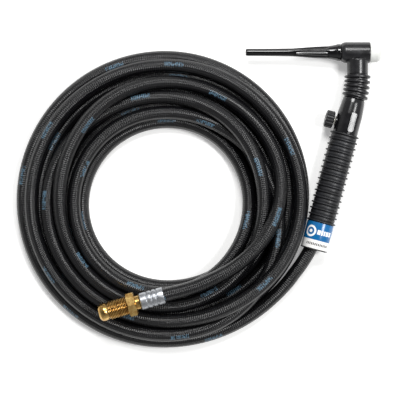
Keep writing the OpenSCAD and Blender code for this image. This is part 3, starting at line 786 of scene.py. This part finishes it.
housing_matrix = standing(HOUSING, (0, 1, 0))
boss_bm.transform(housing_matrix.inverted() @ standing(STEM, (-1, 0, 0)))
join(housing_bm, boss_bm)
# the pad is flat and leans 14 degrees to the right
PAD_WIDTH, PAD_LENGTH, PAD_MIDDLE, PAD_BASE, PAD_TOP = 0.0072, 0.0225, 0.0145, 0.0145, 0.0157
pad_bm = bmesh.new()
bmesh.ops.create_grid(pad_bm, x_segments=8, y_segments=8, size=0.5)
for vert in pad_bm.verts:
    vert.co = Vector((PAD_WIDTH * vert.co.x, PAD_MIDDLE + PAD_LENGTH * vert.co.y, PAD_BASE))
raised = bmesh.ops.extrude_face_region(pad_bm, geom=pad_bm.faces[:])
for vert in (v for v in raised["geom"] if isinstance(v, bmesh.types.BMVert)):
    vert.co.z = PAD_TOP
pad_bm.transform(Matrix.Rotation(math.radians(14), 4, "Y"))
rim_edges = [e for e in pad_bm.edges if len(e.link_faces) == 2 and e.calc_face_angle() > 1]
bmesh.ops.bevel(
    pad_bm, geom=rim_edges, offset=0.0003, segments=3, profile=0.5, affect="EDGES", material=-1,
)
pad_bm.transform(housing_matrix.inverted() @ Matrix.Translation(HOUSING))
join(housing_bm, pad_bm)
housing = keep(housing_bm, "valve_cover", gloss_nylon, housing_matrix)
fit(housing, "housing_plastic", "handle", "valve_housing")

# Valve knob: a small phenolic moulding with fourteen finger flutes, pressed on the
# stem's flat and held by the screw in its dished face.
KNOB_RADIUS, KNOB_THICKNESS, FACE_RADIUS, FLUTES, FLUTE_DEPTH = 0.0102, 0.010, 0.0088, 14, 0.0009
knob_outline = [
    (0, 0.0025), (0, 0.009, 0.0003), (0.0008, KNOB_RADIUS, 0.0006), (0.002, KNOB_RADIUS),
    (0.004, KNOB_RADIUS), (0.006, KNOB_RADIUS), (0.008, KNOB_RADIUS), (0.0092, KNOB_RADIUS, 0.0008),
    (KNOB_THICKNESS, FACE_RADIUS, 0.0004), (KNOB_THICKNESS, 0.0062, 0.0003),
    (0.0093, 0.0056, 0.0003), (0.0093, 0.0034, 0.0002), (0.0082, 0.0033), (0.0082, 0.0025),
    (0, 0.0025),
]
knob_bm = turned(rounded(knob_outline), 12 * FLUTES)
for vert in knob_bm.verts:
    radius = math.hypot(vert.co.x, vert.co.y)
    if radius > FACE_RADIUS:
        wave = abs(math.cos(FLUTES / 2 * math.atan2(vert.co.y, vert.co.x)))
        run_in = min(1, (radius - FACE_RADIUS) / 0.001)
        press(vert, radius, FLUTE_DEPTH * max(0, 1 - wave / 0.75) ** 0.6 * run_in)
# phenolic with a fine satin grain that softens what it reflects
phenolic, tree = new_material("black phenolic moulding")
place = add(tree, "TexCoord")
fine = add(tree, "TexNoise", {"Vector": place.outputs["Object"], "Scale": 500.0, "Detail": 3.0})
tone = add(tree, "ValToRGB", {"Fac": fine.outputs[0]})
tone.color_ramp.elements[0].color = linear("#0f0f11")
tone.color_ramp.elements[1].color = linear("#1d1d20")
dull = add(tree, "MapRange", {"Value": fine.outputs[0], "To Min": 0.25, "To Max": 0.42})
bump = add(tree, "Bump", {"Height": fine.outputs[0], "Strength": 0.15, "Distance": 0.0001})
surface(
    tree, Base_Color=tone.outputs[0], Roughness=dull.outputs[0], IOR=1.55, Normal=bump.outputs[0],
)
KNOB_OUT = 0.0172
on_stem = standing((STEM[0] - KNOB_OUT, STEM[1], STEM[2]), (-1, 0, 0))
knob = keep(knob_bm, "fluted_knob", phenolic, on_stem)
fit(knob, "knob_plastic", "knob", "valve_knob")

# Neck: a soft copper tube that the hand bends, under a rubber bellows of five folds.
# Both are made in two lengths that meet in a groove of the bellows.
NECK_START, NECK_LENGTH, NECK_BEND = 0.058, 0.0285, math.radians(15)
NECK_ARC = NECK_LENGTH / NECK_BEND
FOLD_COUNT, ROOT, CREST, INSIDE = 5, 0.0122, 0.0154, 0.009
FOLD = NECK_LENGTH / FOLD_COUNT
# soft copper, tarnished brown in patches
copper, tree = new_material("soft copper tube")
place = add(tree, "TexCoord")
tarnish = add(tree, "TexNoise", {"Vector": place.outputs["Object"], "Scale": 200.0, "Detail": 5.0})
tone = add(tree, "ValToRGB", {"Fac": tarnish.outputs[0]})
tone.color_ramp.elements[0].color = linear("#8a4a2c")
tone.color_ramp.elements[1].color = linear("#c77f57")
surface(tree, Base_Color=tone.outputs[0], Metallic=1.0, Roughness=0.35)
# satin rubber with a fine grain, so that each fold carries a long soft glint
neck_rubber, tree = new_material("moulded neck rubber, satin")
place = add(tree, "TexCoord")
fine = add(tree, "TexNoise", {"Vector": place.outputs["Object"], "Scale": 600.0, "Detail": 3.0})
tone = add(tree, "ValToRGB", {"Fac": fine.outputs[0]})
tone.color_ramp.elements[0].color = linear("#101012")
tone.color_ramp.elements[1].color = linear("#1f1f23")
dull = add(tree, "MapRange", {"Value": fine.outputs[0], "To Min": 0.28, "To Max": 0.45})
bump = add(tree, "Bump", {"Height": fine.outputs[0], "Strength": 0.3, "Distance": 0.0001})
surface(tree, Base_Color=tone.outputs[0], Roughness=dull.outputs[0], Normal=bump.outputs[0])


def on_neck(at):
    """A point on the neck's middle line, which runs on straight past both its ends."""
    turn = min(max(at, 0), NECK_LENGTH) / NECK_ARC
    past = at - min(max(at, 0), NECK_LENGTH)
    return Vector((
        HANDLE[0] - NECK_ARC * (1 - math.cos(turn)) - past * math.sin(turn),
        NECK_START + NECK_ARC * math.sin(turn) + past * math.cos(turn), HANDLE[2],
    ))


def bent(bm):
    """Bends what was turned along Z round the neck's middle line."""
    for vert in bm.verts:
        turn = min(max(vert.co.z, 0), NECK_LENGTH) / NECK_ARC
        across = Vector((math.cos(turn), math.sin(turn), 0))
        vert.co = on_neck(vert.co.z) + vert.co.x * across + Vector((0, 0, vert.co.y))
    return bm


def bellows(first, last):
    """The folds from first to last, turned straight and then bent."""
    outline = [(first * FOLD, INSIDE)]
    for n in range(first, last):
        outline += [
            (n * FOLD, ROOT), (n * FOLD + 0.0009, ROOT, 0.0005), (n * FOLD + 0.0017, CREST, 0.0008),
            ((n + 1) * FOLD - 0.0017, CREST, 0.0008), ((n + 1) * FOLD - 0.0009, ROOT, 0.0005),
        ]
    outline += [(last * FOLD, ROOT), (last * FOLD, INSIDE), (first * FOLD, INSIDE)]
    return bent(turned(rounded(outline, 5), 80))


def tube(start, end):
    """A length of the copper tube, with rings close enough to bend smoothly."""
    outside, bore, ring_gap = 0.0038, 0.0028, 0.0008
    steps = max(2, round((end - start) / ring_gap))
    heights = [start + (end - start) * n / steps for n in range(steps + 1)]
    wall = [(at, outside) for at in heights] + [(at, bore) for at in heights[::-1]]
    return bent(turned(wall + wall[:1], 48))


LOWER_FOLDS, IN_VALVE, IN_HEAD = 3, 0.017, 0.0125
seam = LOWER_FOLDS * FOLD
for name, piece_bm, material, slot, cad_node, bodies, bend_start, bend_end in (
    ("bellows_lower", bellows(0, LOWER_FOLDS), neck_rubber, "neck_rubber", "neck_cover",
     ("handle", "neck"), 0, seam),
    ("copper_lower", tube(-IN_VALVE, seam), copper, "copper", "neck_tube",
     ("handle", "neck"), 0, seam),
    ("bellows_upper", bellows(LOWER_FOLDS, FOLD_COUNT), neck_rubber, "neck_rubber", "neck_cover",
     ("neck", "head"), seam, NECK_LENGTH),
    ("copper_upper", tube(seam, NECK_LENGTH + IN_HEAD), copper, "copper", "neck_tube",
     ("neck", "head"), seam, NECK_LENGTH),
):
    piece = keep(piece_bm, name, material)
    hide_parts(cad_node)
    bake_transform(piece)

# Head: silicone-bonded phenolic moulded over the brass body, a barrel on a short
# neck that flow together in a small radius; satin where it is handled.
HEAD_AXIS = Vector((math.cos(NECK_BEND), math.sin(NECK_BEND), 0))
NECK_AXIS = Vector((-math.sin(NECK_BEND), math.cos(NECK_BEND), 0))
STUB, STUB_TOP, STUB_RADIUS, STUB_BORE = 0.0262, 0.0085, 0.0124, 0.0064
HEAD = on_neck(NECK_LENGTH) + STUB * NECK_AXIS
on_head = standing(HEAD, HEAD_AXIS)
head_bm = turned(rounded([
    (-0.0196, 0.0077), (-0.0196, 0.0104, 0.0008), (-0.0172, 0.0117, 0.001), (-0.015, 0.0124, 0.002),
    (0.0143, 0.0125, 0.0005), (0.0143, 0.0081), (-0.0196, 0.0081), (-0.0196, 0.0077),
]), 96)
stub_bm = turned(rounded([
    (-STUB, STUB_BORE), (-STUB, STUB_RADIUS, 0.0006), (-STUB_TOP, STUB_RADIUS),
    (-STUB_TOP, STUB_BORE), (-STUB, STUB_BORE),
]), 96)
stub_bm.transform(on_head.inverted() @ standing(HEAD, NECK_AXIS))
join(head_bm, stub_bm)
# phenolic as moulded is satin, and shines in the patches where it is handled
satin_phenolic, tree = new_material("black phenolic, satin")
place = add(tree, "TexCoord")
patches = add(tree, "TexNoise", {"Vector": place.outputs["Object"], "Scale": 120.0, "Detail": 5.0})
tone = add(tree, "ValToRGB", {"Fac": patches.outputs[0]})
tone.color_ramp.elements[0].position, tone.color_ramp.elements[0].color = 0.3, linear("#0f0f11")
tone.color_ramp.elements[1].position, tone.color_ramp.elements[1].color = 0.7, linear("#1b1b1e")
dull = add(tree, "MapRange", {"Value": patches.outputs[0], "To Min": 0.17, "To Max": 0.36})
fine = add(tree, "TexNoise", {"Vector": place.outputs["Object"], "Scale": 650.0, "Detail": 2.0})
bump = add(tree, "Bump", {"Height": fine.outputs[0], "Strength": 0.15, "Distance": 0.0001})
surface(
    tree, Base_Color=tone.outputs[0], Roughness=dull.outputs[0], IOR=1.55, Normal=bump.outputs[0],
)
head = keep(head_bm, "torch_head", satin_phenolic, on_head)
remesh = head.modifiers.new("moulded as one", "REMESH")
remesh.mode = "VOXEL"
remesh.voxel_size = 0.00045
remesh.use_smooth_shade = True
smooth = head.modifiers.new("moulding radius", "SMOOTH")
smooth.iterations = 6
fit(head, "head_plastic", "head", "head_insulator")

# Cup gasket: a turned ring of white PTFE with a rounded front, pushed over the
# head's nose so that a gas cup seals against it.
# It is a waxy white that the light enters, with a soft sheen.
ptfe, tree = new_material("turned white PTFE")
place = add(tree, "TexCoord")
soft = add(tree, "TexNoise", {"Vector": place.outputs["Object"], "Scale": 220.0, "Detail": 4.0})
tone = add(tree, "ValToRGB", {"Fac": soft.outputs[0]})
tone.color_ramp.elements[0].color = linear("#cdcecb")
tone.color_ramp.elements[1].color = linear("#e2e3e0")
bump = add(tree, "Bump", {"Height": soft.outputs[0], "Strength": 0.1, "Distance": 0.0001})
surface(
    tree, Base_Color=tone.outputs[0], Roughness=0.38, IOR=1.35, Subsurface_Weight=0.3,
    Subsurface_Scale=0.002, Subsurface_Radius=(1, 1, 1), Normal=bump.outputs[0],
)
gasket = keep(turned(rounded([
    (0.0143, 0.006), (0.0143, 0.0117, 0.0003), (0.0158, 0.0119, 0.002), (0.0235, 0.0115, 0.0035),
    (0.0273, 0.0092, 0.003), (0.0273, 0.006, 0.0008), (0.0143, 0.006),
], 8), 96), "ptfe_gasket", ptfe, on_head)
fit(gasket, "gasket_plastic", "head", "cup_gasket")

# Long back cap: compression-moulded phenolic, polished by its mould, with eight
# flutes to turn it by and a shank that seals in the head's rear.
cap_bm = turned(rounded([
    (-0.13275, 0), (-0.13275, 0.0037, 0.0006), (-0.131, 0.0043, 0.001), (-0.125, 0.00432),
    (-0.118, 0.00434), (-0.112, 0.00435), (-0.105, 0.00443), (-0.098, 0.0045), (-0.091, 0.0046),
    (-0.084, 0.0047), (-0.078, 0.0048), (-0.074, 0.0051), (-0.07, 0.0054), (-0.066, 0.0057),
    (-0.062, 0.00605), (-0.058, 0.00635), (-0.054, 0.00665), (-0.051, 0.0069), (-0.047, 0.00705),
    (-0.043, 0.0072), (-0.039, 0.0074), (-0.036, 0.0075), (-0.034, 0.0078), (-0.033, 0.0079),
    (-0.03, 0.00845), (-0.0255, 0.0094, 0.001), (-0.024, 0.01, 0.0006), (-0.021, 0.0101, 0.0005),
    (-0.0202, 0.0098, 0.0003), (-0.01985, 0.0096), (-0.01975, 0.0075), (-0.018, 0.0075),
    (-0.018, 0.0054), (-0.01975, 0.0054), (-0.026, 0.0045), (-0.026, 0.0017), (-0.12775, 0.0017),
    (-0.12775, 0),
]), 128)
# each flute is round-bottomed, starts narrow and shallow and ends short of the shank
FLUTES, FLUTE_START, FLUTE_LENGTH, FLUTE_HALF_WIDTH, FLUTE_DEPTH = 8, -0.079, 0.045, 0.0018, 0.0009
CAP_BORE_SIDE = 0.004
for vert in cap_bm.verts:
    radius = math.hypot(vert.co.x, vert.co.y)
    part = (vert.co.z - FLUTE_START) / FLUTE_LENGTH
    if 0 < part < 1 and radius > CAP_BORE_SIDE:
        turn = math.atan2(vert.co.y, vert.co.x)
        across = math.asin(math.sin(FLUTES / 2 * turn)) / (FLUTES / 2) * radius
        width = FLUTE_HALF_WIDTH * min(1, 6 * part) ** 0.5
        run_out = min(1, 4 * part) * min(1, 10 * (1 - part))
        press(vert, radius, FLUTE_DEPTH * run_out * max(0, 1 - (across / width) ** 2))
# mould-polished phenolic reflects almost like black glass
gloss_phenolic, tree = new_material("black phenolic, mould-polished")
place = add(tree, "TexCoord")
haze = add(tree, "TexNoise", {"Vector": place.outputs["Object"], "Scale": 150.0, "Detail": 4.0})
tone = add(tree, "ValToRGB", {"Fac": haze.outputs[0]})
tone.color_ramp.elements[0].color = linear("#070708")
tone.color_ramp.elements[1].color = linear("#101012")
shine = add(tree, "MapRange", {"Value": haze.outputs[0], "To Min": 0.04, "To Max": 0.1})
surface(tree, Base_Color=tone.outputs[0], Roughness=shine.outputs[0], IOR=1.58)
cap = keep(cap_bm, "long_cap", gloss_phenolic, on_head)
fit(cap, "cap_plastic", "back_cap", "back_cap")
